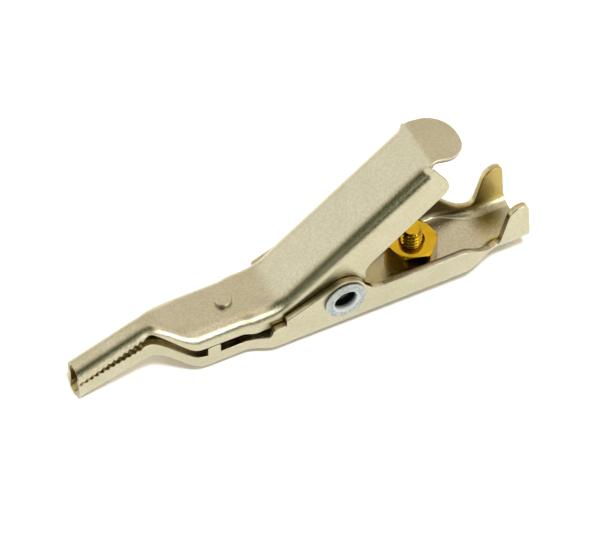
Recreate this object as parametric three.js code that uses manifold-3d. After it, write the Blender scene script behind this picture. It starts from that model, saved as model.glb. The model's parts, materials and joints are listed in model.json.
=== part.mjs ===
/*
 * Spring-loaded metal test clip, built as separate named pieces.
 *
 * Units are millimetres, +Z up. The origin is on the underside of the lower
 * jaw's floor, straight below the pivot. +X runs to the tail, -X to the nose,
 * and the pivot axis is parallel to Y. The clip is at rest with its nose shut.
 */
import * as THREE from 'three';
import { mergeVertices } from 'three/addons/utils/BufferGeometryUtils.js';
import Module from 'manifold-3d';

const wasm = await Module();
wasm.setup();

// Sheet metal of the jaws, and the height of the pivot.
const LOWER_SHEET = 0.9;
const UPPER_SHEET = 0.7;
const PIVOT_Z = 5.2;

// Stations along the clip.
const NOSE_X = -35.6;
const HUMP_X = -25.6;
const FRONT_X = -19.6;
const WAIST_X = -13.4;
const BODY_X = -9.6;
const BODY_END_X = 17.6;
const CRIMP_X = 23.2;
const TAIL_X = 27.8;

// Half widths over the outside of each stretch.
const NOSE_HALF = 1.85;
const FRONT_HALF = 4.15;
const BODY_HALF = 5.4;
const CRIMP_HALF = 4.1;
const LEVER_HALF = 4.42;

// Heights of the lower jaw's underside and of the upper jaw's top face.
const NOSE_UNDERSIDE_Z = 0.1;
const HUMP_UNDERSIDE_Z = 3.1;
const NOSE_TOP_Z = 5.35;
const HUMP_TOP_Z = 9.05;
const PLATE_TOP_Z = 6.75;

// Teeth along the nose.
const TOOTH_PITCH = 0.75;
const TOOTH_DEPTH = 0.36;
const TOOTH_COUNT = 12;
const BITE_TIP_Z = 3.6;
const BITE_REAR_Z = 7.75;
const LOWER_BITE_REAR_Z = 6.3;
const BITE_GAP = 0.06;

// Edge of the lower jaw's walls, front to back.
const LOWER_EDGE_Z = 2.6;
const REST_TAB_Z = 4.02;
const REST_TAB_X = -18.7;
const REST_TAB_LENGTH = 1.8;
const SHOULDER_Z = 4.15;
const EAR_FRONT_X = -8.2;
const EAR_FRONT_Z = 5.2;
const EAR_RADIUS = 3.2;
const WALL_Z = 4.75;
const VALLEY_Z = 2.1;
const CRIMP_TOP_Z = 7.95;

// Half length of the clear flat under the pivot.
const BASE_FACE_HALF = 4;

// Lever part of the upper jaw.
const LEVER_SLOPE = 37.8 * Math.PI / 180;
const LEVER_BEND_X = -8.75;
const LEVER_LENGTH = 26.8;
const LEVER_DEPTH = 6.1;
const UPPER_EDGE_Z = 4.15;
const LEVER_HUB_RADIUS = 2.9;
const UPPER_BEND = 1.9;
const CORNER = 1.5;

// Thumb tab at the end of the lever.
const TAB_HALF = 3.7;
const TAB_LENGTH = 4.7;
const TAB_SLOPE = -14 * Math.PI / 180;
const TAB_BEND = 1.1;

// Pivot rivet.
const RIVET_SHANK_R = 1.75;
const RIVET_BORE_R = 1.5;
const RIVET_BORE_DEPTH = 1.77;
const RIVET_POINT_DEPTH = 1.4;
const RIVET_HEAD_R = 2.85;
const RIVET_HEAD_H = 0.5;
const PIVOT_CLEARANCE = 0.05;

// Torsion spring round the rivet.
const WIRE_R = 0.4;
const COIL_R = 2.35;
const COIL_SPACE = 0.06;
const COIL_LAPS = 4;
const LOWER_LEG = 4.6;
const UPPER_LEG = 7.5;

// Terminal screw and nut: a 4-40 UNC pair.
const SCREW_X = 12.35;
const THREAD_R = 1.42;
const THREAD_PITCH = 0.635;
const THREAD_DEPTH = 0.3;
const THREAD_SEGMENTS = 24;
const END_CHAMFER = 0.35;
const SCREW_TOP_Z = 6.7;
const SCREW_HEAD_R = 2.75;
const SCREW_HEAD_H = 1.35;
const SLOT_WIDTH = 0.8;
const SLOT_DEPTH = 0.75;
const NUT_FLATS = 6.35;
const NUT_H = 3.7;
const NUT_TURN = 16.6 * Math.PI / 180;

// Contact pin riveted into the upper jaw's front plate.
const PIN_X = -14.6;
const PIN_R = 1.12;
const PIN_PROUD = 0.6;
const PIN_POINT = 2.2;
const PIN_COLLAR_H = 0.5;

// Gap left under a head, nut or collar.
const SEAT_GAP = 0.02;

const ARC_STEPS = 5;
const ROUND = 40;

/* ---------- helpers ---------- */

// Smooth change from a to b while x goes from x0 to x1.
function ease(x, x0, x1, a, b) {
  const t = Math.min(1, Math.max(0, (x - x0) / (x1 - x0)));
  return a + (b - a) * t * t * (3 - 2 * t);
}

// Evenly spaced values from a to b, both included.
function spread(a, b, steps) {
  return Array.from({ length: steps + 1 }, (_, i) => a + (b - a) * i / steps);
}

function geometryFrom(points, indices) {
  const geometry = new THREE.BufferGeometry();
  geometry.setAttribute('position', new THREE.Float32BufferAttribute(points.flat(), 3));
  geometry.setIndex(indices);
  return geometry;
}

function toManifold(geometry) {
  const bare = geometry.clone();
  bare.deleteAttribute('normal');
  bare.deleteAttribute('uv');
  const merged = facingOut(mergeVertices(bare, 1e-4));
  const vertProperties = new Float32Array(merged.attributes.position.array);
  const triVerts = new Uint32Array(merged.index.array);
  return new wasm.Manifold(new wasm.Mesh({ numProp: 3, vertProperties, triVerts }));
}

function toGeometry(manifold) {
  const { vertProperties, triVerts } = manifold.getMesh();
  const geometry = new THREE.BufferGeometry();
  geometry.setAttribute('position', new THREE.BufferAttribute(new Float32Array(vertProperties), 3));
  geometry.setIndex(new THREE.BufferAttribute(new Uint32Array(triVerts), 1));
  return geometry;
}

// Closed skin through equal rings of points, capped at both ends.
function skin(rings, capFaces) {
  const count = rings[0].length;
  const indices = [];
  for (let k = 0; k + 1 < rings.length; k++) {
    for (let i = 0; i < count; i++) {
      const j = (i + 1) % count;
      const [a, b] = [k * count + i, k * count + j];
      const [c, d] = [a + count, b + count];
      indices.push(a, b, c, b, d, c);
    }
  }
  const last = (rings.length - 1) * count;
  for (const [a, b, c] of capFaces) {
    indices.push(a, c, b, last + a, last + b, last + c);
  }
  return facingOut(geometryFrom(rings.flat(), indices));
}

// Six times the volume a closed geometry's faces enclose.
function signedVolume(geometry) {
  const { position } = geometry.attributes;
  const corner = (i) => new THREE.Vector3().fromBufferAttribute(position, geometry.index.getX(i));
  let sum = 0;
  for (let i = 0; i < geometry.index.count; i += 3) {
    sum += corner(i).dot(corner(i + 1).cross(corner(i + 2)));
  }
  return sum;
}

function facingOut(geometry) {
  if (signedVolume(geometry) < 0) {
    geometry.index.array.reverse();
  }
  return geometry;
}

// Half of a channel's cross-section as [across, depth] pairs, from the middle
// of the web to the flange's edge.
function halfSection(half, bend, depth, stretch) {
  const points = [[0, 0]];
  for (const a of spread(0, Math.PI / 2, ARC_STEPS)) {
    points.push([half - bend + bend * Math.sin(a), bend * stretch * (1 - Math.cos(a))]);
  }
  points.push([half, depth]);
  return points;
}

// One ring of a bent-sheet channel. side is +1 when the flanges point up.
function channelRing({ x, z, slope, tilt, half, bend, depth, sheet }, side) {
  const stretch = 1 / Math.cos(slope - tilt);
  const outer = halfSection(half, bend, depth, stretch);
  const inner = halfSection(half - sheet, bend - sheet, depth - sheet * stretch, stretch)
    .map(([across, down]) => [across, down + sheet * stretch]);
  const mirrored = (points) => points.slice(1).reverse().map(([across, down]) => [-across, down]);
  const loop = [...mirrored(outer), ...outer, ...inner.slice().reverse(), ...mirrored(inner).reverse()];
  return loop.map(([across, down]) => [
    x - side * down * Math.sin(tilt),
    across,
    z + side * down * Math.cos(tilt),
  ]);
}

// Triangles that close the end of a channel, matching channelRing's order.
function channelCap(count) {
  const quads = count / 2 - 1;
  const faces = [];
  for (let i = 0; i < quads; i++) {
    const [a, b, c, d] = [i, i + 1, count - 2 - i, count - 1 - i];
    faces.push([a, b, c], [a, c, d]);
  }
  return faces;
}

function channel(stations, side) {
  const rings = stations.map((station) => channelRing(station, side));
  return toManifold(skin(rings, channelCap(rings[0].length)));
}

// Prism across the whole clip from an outline drawn in side view.
function sidePrism(shape, half = 10) {
  const geometry = new THREE.ExtrudeGeometry(shape, {
    depth: 2 * half,
    bevelEnabled: false,
    curveSegments: 14,
  });
  geometry.rotateX(Math.PI / 2);
  geometry.translate(0, half, 0);
  return toManifold(geometry);
}

// Cylinder along Y or Z, centred on a point.
function rod(radius, length, axis, [x, y, z]) {
  const geometry = new THREE.CylinderGeometry(radius, radius, length, ROUND);
  if (axis === 'z') {
    geometry.rotateX(Math.PI / 2);
  }
  geometry.translate(x, y, z);
  return toManifold(geometry);
}

// Solid of revolution from [radius, height] pairs, turned about Z.
function lathe(profile, segments = ROUND) {
  const geometry = new THREE.LatheGeometry(
    profile.map(([radius, height]) => new THREE.Vector2(radius, height)),
    segments,
  );
  geometry.rotateX(Math.PI / 2);
  return geometry;
}

/* ---------- materials ---------- */

function metal(name, color, roughness) {
  const material = new THREE.MeshStandardMaterial({ color, metalness: 1, roughness });
  material.name = name;
  return material;
}

const nickel = () => metal('nickel_plate', 0xc9c3ac, 0.32);
const zinc = () => metal('zinc_rivet', 0xaab0b6, 0.42);
const steel = () => metal('spring_steel', 0x8f8f8c, 0.35);
const brass = () => metal('brass', 0xd9a820, 0.3);

function piece(name, solid, material) {
  const geometry = toGeometry(solid).toNonIndexed();
  geometry.computeVertexNormals();
  const mesh = new THREE.Mesh(geometry, material);
  mesh.name = name;
  return mesh;
}

/* ---------- lower jaw ---------- */

function lowerStations() {
  const xs = [
    NOSE_X,
    ...spread(HUMP_X - 1, FRONT_X + 1.2, 12),
    ...spread(WAIST_X, BODY_X, 6),
    ...spread(-BASE_FACE_HALF, BASE_FACE_HALF, 1),
    BODY_END_X,
    ...spread(BODY_END_X + 0.8, CRIMP_X, 6),
    TAIL_X,
  ];
  return xs.map((x) => ({
    x,
    z: lowerFloorZ(x),
    slope: slopeOf(lowerFloorZ, x),
    tilt: 0,
    half: lowerHalf(x),
    bend: lowerBend(x),
    depth: 12,
    sheet: LOWER_SHEET,
  }));
}

function slopeOf(height, x) {
  const d = 0.2;
  return Math.atan((height(x + d) - height(x - d)) / (2 * d));
}

// Underside of the lower jaw: it climbs along the nose and drops to the floor.
function lowerFloorZ(x) {
  const climb = (HUMP_UNDERSIDE_Z - NOSE_UNDERSIDE_Z) / (HUMP_X - NOSE_X);
  const nose = NOSE_UNDERSIDE_Z + climb * (x - NOSE_X);
  const fall = ease(x, HUMP_X + 0.3, FRONT_X + 1.2, HUMP_UNDERSIDE_Z, 0);
  return softMin(nose, fall, 0.5);
}

// The lower of two heights, blended where they cross.
function softMin(a, b, radius) {
  const t = Math.max(0, radius - Math.abs(a - b)) / radius;
  return Math.min(a, b) - t * t * radius / 4;
}

function lowerHalf(x) {
  if (x < FRONT_X + 2) {
    return ease(x, HUMP_X - 0.6, FRONT_X, NOSE_HALF, FRONT_HALF);
  }
  if (x < 0) {
    return ease(x, WAIST_X, BODY_X, FRONT_HALF, BODY_HALF);
  }
  return ease(x, BODY_END_X, CRIMP_X, BODY_HALF, CRIMP_HALF);
}

function lowerBend(x) {
  if (x < 0) {
    return ease(x, HUMP_X, FRONT_X, NOSE_HALF - 0.2, 1.2);
  }
  return ease(x, BODY_END_X, CRIMP_X, 1.2, 2.4);
}

// Zigzag bite line as [x, z] points from the nose tip back to the last tooth.
function toothLine(rearX, rearZ, tipZ, rise) {
  const slope = (rearZ - tipZ) / (rearX - NOSE_X);
  return spread(0, 2 * TOOTH_COUNT, 2 * TOOTH_COUNT).map((step) => {
    const along = step * TOOTH_PITCH / 2;
    return [NOSE_X + along, tipZ + slope * along + (step % 2) * rise];
  });
}

function lowerOutline() {
  const s = new THREE.Shape();
  s.moveTo(NOSE_X - 2, -4);
  s.lineTo(TAIL_X + 0.2, -4);
  s.lineTo(TAIL_X, 1);
  s.lineTo(TAIL_X - 0.35, CRIMP_TOP_Z - 1.8);
  s.quadraticCurveTo(TAIL_X - 0.5, CRIMP_TOP_Z, TAIL_X - 1.5, CRIMP_TOP_Z);
  s.lineTo(TAIL_X - 2.4, CRIMP_TOP_Z - 0.1);
  s.quadraticCurveTo(CRIMP_X + 1.7, CRIMP_TOP_Z - 0.3, CRIMP_X + 1.1, CRIMP_TOP_Z - 2.2);
  s.lineTo(CRIMP_X + 0.3, VALLEY_Z + 0.9);
  s.quadraticCurveTo(CRIMP_X, VALLEY_Z, CRIMP_X - 0.9, VALLEY_Z);
  s.bezierCurveTo(CRIMP_X - 3.4, VALLEY_Z, CRIMP_X - 3.4, WALL_Z, BODY_END_X - 1.2, WALL_Z);
  s.lineTo(7.2, WALL_Z);
  s.bezierCurveTo(5.2, WALL_Z, 4.2, PIVOT_Z, EAR_RADIUS * 0.93, PIVOT_Z + EAR_RADIUS * 0.36);
  s.absarc(0, PIVOT_Z, EAR_RADIUS, 0.37, 2.1, false);
  s.lineTo(EAR_FRONT_X, EAR_FRONT_Z);
  s.lineTo(EAR_FRONT_X, SHOULDER_Z);
  s.lineTo(EAR_FRONT_X - 1.8, SHOULDER_Z - 0.05);
  s.lineTo(EAR_FRONT_X - 2.1, LOWER_EDGE_Z + 0.3);
  s.lineTo(WAIST_X, LOWER_EDGE_Z - 0.1);
  s.lineTo(REST_TAB_X + REST_TAB_LENGTH, LOWER_EDGE_Z - 0.1);
  s.lineTo(REST_TAB_X + REST_TAB_LENGTH, REST_TAB_Z);
  s.lineTo(REST_TAB_X, REST_TAB_Z);
  s.lineTo(REST_TAB_X, LOWER_EDGE_Z);
  s.quadraticCurveTo(FRONT_X - 0.4, LOWER_EDGE_Z + 0.3, FRONT_X - 1.4, LOWER_EDGE_Z + 1.4);
  s.lineTo(HUMP_X + 1.9, LOWER_BITE_REAR_Z - 0.4);
  s.quadraticCurveTo(HUMP_X + 0.6, LOWER_BITE_REAR_Z + 0.1, HUMP_X - 0.6, LOWER_BITE_REAR_Z);
  const teeth = toothLine(HUMP_X - 0.6, LOWER_BITE_REAR_Z, BITE_TIP_Z - BITE_GAP, -TOOTH_DEPTH);
  for (const [x, z] of teeth.reverse()) {
    s.lineTo(x, z);
  }
  s.lineTo(NOSE_X - 2, BITE_TIP_Z - BITE_GAP);
  return s;
}

function lowerJaw() {
  const holes = rod(RIVET_SHANK_R + PIVOT_CLEARANCE, 20, 'y', [0, 0, PIVOT_Z])
    .add(rod(THREAD_R + 0.15, 8, 'z', [SCREW_X, 0, 0]));
  const solid = channel(lowerStations(), 1)
    .intersect(sidePrism(lowerOutline()))
    .subtract(holes);
  return piece('lower_jaw', solid, nickel());
}

/* ---------- upper jaw ---------- */

function upperTopZ(x) {
  const climb = (HUMP_TOP_Z - NOSE_TOP_Z) / (HUMP_X - NOSE_X);
  const nose = NOSE_TOP_Z + climb * (x - NOSE_X);
  const fall = ease(x, HUMP_X + 0.2, FRONT_X, HUMP_TOP_Z, PLATE_TOP_Z);
  return softMin(nose, fall, 0.6);
}

function upperHalf(x) {
  if (x < FRONT_X + 2) {
    return ease(x, HUMP_X - 0.6, FRONT_X, NOSE_HALF, FRONT_HALF);
  }
  return ease(x, WAIST_X - 0.4, WAIST_X + 1.6, FRONT_HALF, LEVER_HALF);
}

function upperBend(x) {
  return ease(x, HUMP_X, FRONT_X, NOSE_HALF - 0.15, UPPER_BEND);
}

function noseStations() {
  const xs = [
    NOSE_X,
    ...spread(HUMP_X - 1, FRONT_X, 12),
    PIN_X - 1.6 * PIN_R,
    ...spread(WAIST_X - 0.4, WAIST_X + 1.6, 4),
  ];
  return xs.map((x) => ({
    x,
    z: upperTopZ(x),
    slope: slopeOf(upperTopZ, x),
    tilt: 0,
    half: upperHalf(x),
    bend: upperBend(x),
    depth: 9,
    sheet: UPPER_SHEET,
  }));
}

// The plate turns up into the lever along an arc, then runs straight.
function leverStations() {
  const radius = 5;
  const startX = LEVER_BEND_X - radius * Math.tan(LEVER_SLOPE / 2);
  const common = { half: LEVER_HALF, bend: UPPER_BEND, depth: 9, sheet: UPPER_SHEET };
  const arc = spread(0, LEVER_SLOPE, 6).map((tilt) => ({
    x: startX + radius * Math.sin(tilt),
    z: PLATE_TOP_Z + radius * (1 - Math.cos(tilt)),
    slope: tilt,
    tilt,
    ...common,
  }));
  const end = leverPoint(LEVER_LENGTH, 0);
  return [...arc, { ...end, slope: LEVER_SLOPE, tilt: LEVER_SLOPE, ...common }];
}

// Point on the lever: along its top face from the bend, and down square to it.
function leverPoint(along, down) {
  return {
    x: LEVER_BEND_X + along * Math.cos(LEVER_SLOPE) + down * Math.sin(LEVER_SLOPE),
    z: PLATE_TOP_Z + along * Math.sin(LEVER_SLOPE) - down * Math.cos(LEVER_SLOPE),
  };
}

function upperOutline() {
  const s = new THREE.Shape();
  const to = (along, down) => {
    const p = leverPoint(along, down);
    s.lineTo(p.x, p.z);
  };
  const bendTo = (a1, d1, a2, d2) => {
    const [p, q] = [leverPoint(a1, d1), leverPoint(a2, d2)];
    s.quadraticCurveTo(p.x, p.z, q.x, q.z);
  };
  s.moveTo(NOSE_X - 2, 30);
  s.lineTo(NOSE_X - 2, BITE_TIP_Z);
  for (const [x, z] of toothLine(HUMP_X, BITE_REAR_Z, BITE_TIP_Z, TOOTH_DEPTH)) {
    s.lineTo(x, z);
  }
  s.lineTo(HUMP_X - 0.7, BITE_REAR_Z - 0.1);
  s.quadraticCurveTo(HUMP_X + 0.1, BITE_REAR_Z + 0.4, HUMP_X + 1.1, BITE_REAR_Z - 0.2);
  s.lineTo(FRONT_X - 1.6, UPPER_EDGE_Z + 0.9);
  s.quadraticCurveTo(FRONT_X - 0.6, UPPER_EDGE_Z, FRONT_X + 0.8, UPPER_EDGE_Z - 0.1);
  s.lineTo(WAIST_X - 0.6, UPPER_EDGE_Z);
  s.quadraticCurveTo(WAIST_X + 0.3, UPPER_EDGE_Z - 0.5, WAIST_X + 1.4, UPPER_EDGE_Z - 0.4);
  s.lineTo(-LEVER_HUB_RADIUS * 0.9, PIVOT_Z - LEVER_HUB_RADIUS * 0.45);
  s.absarc(0, PIVOT_Z, LEVER_HUB_RADIUS, Math.PI + 0.5, 2 * Math.PI - 0.3, false);
  s.lineTo(3.6, PIVOT_Z + 1.2);
  bendTo(10, LEVER_DEPTH + 0.3, 12.5, LEVER_DEPTH);
  to(LEVER_LENGTH - CORNER - 0.9, LEVER_DEPTH);
  bendTo(LEVER_LENGTH - 0.7, LEVER_DEPTH, LEVER_LENGTH - 0.3, LEVER_DEPTH - CORNER);
  to(LEVER_LENGTH - 0.05, 1.5);
  to(LEVER_LENGTH - 0.05, -3);
  s.lineTo(5, 30);
  return s;
}

// Strip of sheet along a path of [x, z, slope, half width] entries.
function strip(path) {
  const rings = path.map(([x, z, slope, half]) => {
    const [dx, dz] = [Math.sin(slope) * UPPER_SHEET, Math.cos(slope) * UPPER_SHEET];
    return [[x, half, z], [x, -half, z], [x + dx, -half, z - dz], [x + dx, half, z - dz]];
  });
  return toManifold(skin(rings, [[0, 1, 2], [0, 2, 3]]));
}

function thumbTab() {
  const start = leverPoint(LEVER_LENGTH - 0.8, 0);
  const path = [[start.x, start.z, LEVER_SLOPE, TAB_HALF]];
  const bendStart = leverPoint(LEVER_LENGTH - 0.1, 0);
  const radius = TAB_BEND + UPPER_SHEET;
  for (const slope of spread(LEVER_SLOPE, TAB_SLOPE, 6)) {
    path.push([
      bendStart.x + radius * (Math.sin(LEVER_SLOPE) - Math.sin(slope)),
      bendStart.z - radius * (Math.cos(LEVER_SLOPE) - Math.cos(slope)),
      slope,
      TAB_HALF,
    ]);
  }
  const [bx, bz] = path[path.length - 1];
  const flat = TAB_LENGTH - TAB_HALF * 0.95;
  for (const a of spread(0, Math.PI / 2 - 0.12, 12)) {
    const along = flat + (TAB_LENGTH - flat) * Math.sin(a);
    path.push([
      bx + along * Math.cos(TAB_SLOPE),
      bz + along * Math.sin(TAB_SLOPE),
      TAB_SLOPE,
      TAB_HALF * Math.cos(a) ** 0.8,
    ]);
  }
  return strip(path);
}

function upperJaw() {
  const holes = rod(RIVET_SHANK_R + PIVOT_CLEARANCE, 20, 'y', [0, 0, PIVOT_Z])
    .add(rod(PIN_R * 0.7 + 0.03, 4, 'z', [PIN_X, 0, PLATE_TOP_Z]));
  const solid = channel([...noseStations(), ...leverStations()], -1)
    .intersect(sidePrism(upperOutline()))
    .add(thumbTab())
    .subtract(holes);
  return piece('upper_jaw', solid, nickel());
}

/* ---------- pivot rivet ---------- */

// Semi-tubular rivet across both jaws: a plain head at the far end, and the
// hollow end rolled over at the near one.
function pivotRivet() {
  const seat = BODY_HALF + 0.02;
  const crown = seat + RIVET_HEAD_H;
  const rim = (side) => [
    [RIVET_SHANK_R, side * seat],
    [RIVET_HEAD_R - 0.1, side * seat],
    [RIVET_HEAD_R, side * (seat + 0.14)],
    [RIVET_HEAD_R - 0.25, side * (crown - 0.1)],
    [RIVET_HEAD_R - 0.7, side * crown],
  ];
  const hollow = [
    [RIVET_BORE_R + 0.35, crown],
    [RIVET_BORE_R + 0.12, crown - 0.2],
    [RIVET_BORE_R, crown - 0.8],
    [RIVET_BORE_R, crown - RIVET_BORE_DEPTH],
    [0, crown - RIVET_BORE_DEPTH - RIVET_POINT_DEPTH],
  ];
  const geometry = lathe([[0, -crown], ...rim(-1).reverse(), ...rim(1), ...hollow]);
  geometry.rotateX(Math.PI / 2);
  geometry.translate(0, 0, PIVOT_Z);
  return piece('pivot_rivet', toManifold(geometry), zinc());
}

/* ---------- torsion spring ---------- */

// Angle a leg makes with the face it presses on, so its tip just clears it.
function legAngle(reach, length) {
  return Math.asin(reach / Math.hypot(COIL_R, length)) - Math.atan2(COIL_R, length);
}

// Height of the pivot under the lever's top face, measured square to it.
function pivotDepth() {
  const [dx, dz] = [-LEVER_BEND_X, PIVOT_Z - PLATE_TOP_Z];
  return dx * Math.sin(LEVER_SLOPE) - dz * Math.cos(LEVER_SLOPE);
}

// Wire centre line: in along the lower leg, round the coil, out under the lever.
function springPoints() {
  const clearance = WIRE_R + 0.04;
  const lower = -legAngle(PIVOT_Z - LOWER_SHEET - clearance, LOWER_LEG);
  const upper = LEVER_SLOPE + legAngle(pivotDepth() - UPPER_SHEET - clearance, UPPER_LEG);
  const first = lower - Math.PI / 2;
  const last = upper + Math.PI / 2 - 2 * Math.PI * COIL_LAPS;
  const width = (2 * WIRE_R + COIL_SPACE) * (first - last) / (2 * Math.PI);
  const at = (angle, along, y) => new THREE.Vector3(
    COIL_R * Math.cos(angle) + along * Math.sin(-angle),
    y,
    PIVOT_Z + COIL_R * Math.sin(angle) + along * Math.cos(angle),
  );
  const lowerLeg = spread(LOWER_LEG, 1, 4).map((d) => at(first, d, -width / 2));
  const coil = spread(0, 1, COIL_LAPS * 18).map((t) => (
    at(first + (last - first) * t, 0, width * (t - 0.5))
  ));
  const upperLeg = spread(1, UPPER_LEG, 4).map((d) => at(last, -d, width / 2));
  return [...lowerLeg, ...coil, ...upperLeg];
}

function torsionSpring() {
  const points = springPoints();
  const wire = new THREE.Shape();
  wire.absarc(0, 0, WIRE_R, 0, 2 * Math.PI, false);
  const geometry = new THREE.ExtrudeGeometry(wire, {
    steps: points.length - 1,
    extrudePath: new THREE.CatmullRomCurve3(points),
    curveSegments: 4,
    bevelEnabled: false,
  });
  return piece('torsion_spring', toManifold(geometry), steel());
}

/* ---------- terminal screw and nut ---------- */

// Threaded shank as rings whose radius follows a single-start helix.
function threadedRod(fromZ, toZ) {
  const ringSteps = Math.round((toZ - fromZ) / THREAD_PITCH * 6);
  const rings = spread(fromZ, toZ, ringSteps).map((z) => (
    spread(0, 2 * Math.PI, THREAD_SEGMENTS).slice(1).map((angle) => {
      const phase = z / THREAD_PITCH - angle / (2 * Math.PI);
      const ridge = 1 - Math.abs(2 * (phase - Math.floor(phase)) - 1);
      const taper = Math.min(1, (toZ - z) / END_CHAMFER);
      const radius = THREAD_R - THREAD_DEPTH * (1 - ridge * taper);
      return [radius * Math.cos(angle), radius * Math.sin(angle), z];
    })
  ));
  const cap = spread(1, THREAD_SEGMENTS - 2, THREAD_SEGMENTS - 3).map((i) => [0, i, i + 1]);
  return toManifold(skin(rings, cap));
}

function terminalScrew() {
  const head = toManifold(lathe([
    [0, -SCREW_HEAD_H],
    [SCREW_HEAD_R * 0.62, -SCREW_HEAD_H],
    [SCREW_HEAD_R * 0.9, -SCREW_HEAD_H * 0.72],
    [SCREW_HEAD_R, -SCREW_HEAD_H * 0.35],
    [SCREW_HEAD_R, -SEAT_GAP],
    [THREAD_R - THREAD_DEPTH - 0.02, -SEAT_GAP],
    [THREAD_R - THREAD_DEPTH - 0.02, 1],
    [0, 1],
  ]));
  const slot = new THREE.BoxGeometry(SCREW_HEAD_R * 3, SLOT_WIDTH, 2 * SLOT_DEPTH);
  slot.translate(0, 0, -SCREW_HEAD_H);
  const solid = head.add(threadedRod(-SEAT_GAP - 0.1, SCREW_TOP_Z)).subtract(toManifold(slot));
  return piece('terminal_screw', solid.translate([SCREW_X, 0, 0]), brass());
}

function terminalNut() {
  const base = LOWER_SHEET + SEAT_GAP;
  const hex = new THREE.CylinderGeometry(NUT_FLATS / Math.sqrt(3), NUT_FLATS / Math.sqrt(3), NUT_H, 6);
  hex.rotateX(Math.PI / 2);
  hex.rotateZ(NUT_TURN);
  hex.translate(0, 0, NUT_H / 2);
  const corner = NUT_FLATS / Math.sqrt(3);
  const face = NUT_FLATS * 0.475;
  const drop = (corner - face) * Math.tan(Math.PI / 6);
  const envelope = lathe([
    [0, 0],
    [corner + 0.01, 0],
    [corner + 0.01, NUT_H - drop],
    [face, NUT_H],
    [0, NUT_H],
  ]);
  const bore = lathe([
    [0, -1],
    [THREAD_R + 0.05, -1],
    [THREAD_R + 0.05, NUT_H - 0.3],
    [THREAD_R + 0.45, NUT_H + 0.1],
    [0, NUT_H + 0.1],
  ]);
  const solid = toManifold(hex).intersect(toManifold(envelope)).subtract(toManifold(bore));
  return piece('terminal_nut', solid.translate([SCREW_X, 0, base]), brass());
}

/* ---------- contact pin ---------- */

function contactPin() {
  const top = PLATE_TOP_Z + SEAT_GAP;
  const under = PLATE_TOP_Z - UPPER_SHEET - SEAT_GAP;
  const shank = PIN_R * 0.7;
  const geometry = lathe([
    [0, under - PIN_COLLAR_H - PIN_POINT],
    [shank, under - PIN_COLLAR_H - PIN_POINT * 0.3],
    [shank, under - PIN_COLLAR_H],
    [PIN_R * 1.3, under - PIN_COLLAR_H],
    [PIN_R * 1.3, under],
    [shank, under],
    [shank, top],
    [PIN_R, top],
    [PIN_R, top + PIN_PROUD - 0.12],
    [PIN_R - 0.12, top + PIN_PROUD],
    [0, top + PIN_PROUD],
  ], 32);
  geometry.translate(PIN_X, 0, 0);
  return piece('contact_pin', toManifold(geometry), nickel());
}

/* ---------- assembly ---------- */

const clip = new THREE.Group();
clip.name = 'test_clip';
clip.add(
  lowerJaw(),
  upperJaw(),
  pivotRivet(),
  torsionSpring(),
  terminalScrew(),
  terminalNut(),
  contactPin(),
);

export default clip;
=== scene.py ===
"""Visual model of a spring-loaded metal test clip, built on its CAD frame.

Shapes are drawn in millimetres and turned to metres when a mesh is made. A jaw
is a folded sheet: a flat pattern in (u, v), where u runs along the clip and v
is the developed distance from its centre line, folded by a surface function.
"""

import json
import math

import bmesh
import bpy
import numpy as np
from mathutils import Matrix, Vector
from mathutils.geometry import delaunay_2d_cdt


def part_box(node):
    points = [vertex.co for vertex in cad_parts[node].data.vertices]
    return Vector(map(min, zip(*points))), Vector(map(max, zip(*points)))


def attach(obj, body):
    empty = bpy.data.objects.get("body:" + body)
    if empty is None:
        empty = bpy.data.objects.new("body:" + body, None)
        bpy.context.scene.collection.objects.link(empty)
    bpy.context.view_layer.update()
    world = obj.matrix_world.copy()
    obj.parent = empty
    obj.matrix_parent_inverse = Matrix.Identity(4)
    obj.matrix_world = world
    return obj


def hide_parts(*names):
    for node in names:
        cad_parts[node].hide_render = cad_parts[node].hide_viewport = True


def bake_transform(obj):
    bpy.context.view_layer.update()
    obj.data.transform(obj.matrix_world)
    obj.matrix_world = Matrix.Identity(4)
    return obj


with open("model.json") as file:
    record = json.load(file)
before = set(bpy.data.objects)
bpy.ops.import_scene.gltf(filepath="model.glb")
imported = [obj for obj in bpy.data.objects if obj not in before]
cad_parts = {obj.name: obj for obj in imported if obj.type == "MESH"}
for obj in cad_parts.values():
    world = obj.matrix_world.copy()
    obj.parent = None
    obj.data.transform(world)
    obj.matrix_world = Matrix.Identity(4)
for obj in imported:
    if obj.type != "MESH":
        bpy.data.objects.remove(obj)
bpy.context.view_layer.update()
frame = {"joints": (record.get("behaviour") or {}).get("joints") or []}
MM = 0.001


def box_mm(node):
    """Low and high corners of a node's box at rest, in millimetres."""
    low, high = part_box(node)
    return low / MM, high / MM


def joint_place(name):
    """Where a joint sits at rest, in millimetres."""
    joint = next(j for j in frame["joints"] if j["name"] == name)
    return Vector(joint["pos_m"]) / MM


LOWER_LOW, LOWER_HIGH = box_mm("lower_jaw")
_, UPPER_HIGH = box_mm("upper_jaw")
_, RIVET_HIGH = box_mm("pivot_rivet")
SPRING_LOW, SPRING_HIGH = box_mm("torsion_spring")
SCREW_LOW, SCREW_HIGH = box_mm("terminal_screw")
NUT_LOW, NUT_HIGH = box_mm("terminal_nut")
PIN_LOW, PIN_HIGH = box_mm("contact_pin")
PIVOT_Z = joint_place("jaw_pivot").z
SCREW_X = joint_place("screw_turn").x
PIN_X = (PIN_LOW.x + PIN_HIGH.x) / 2

# Sheets, and the rounding of their sheared edges.
LOWER_SHEET = 0.9
UPPER_SHEET = 0.7
EDGE_ROUND = 0.14
TOOTH_ROUND = 0.045

# Steps round a sheared edge: degrees from the outer face, and 1 on the inner half.
EDGE_STEPS = [(30, 0), (60, 0), (90, 0), (90, 1), (120, 1), (150, 1)]

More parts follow.
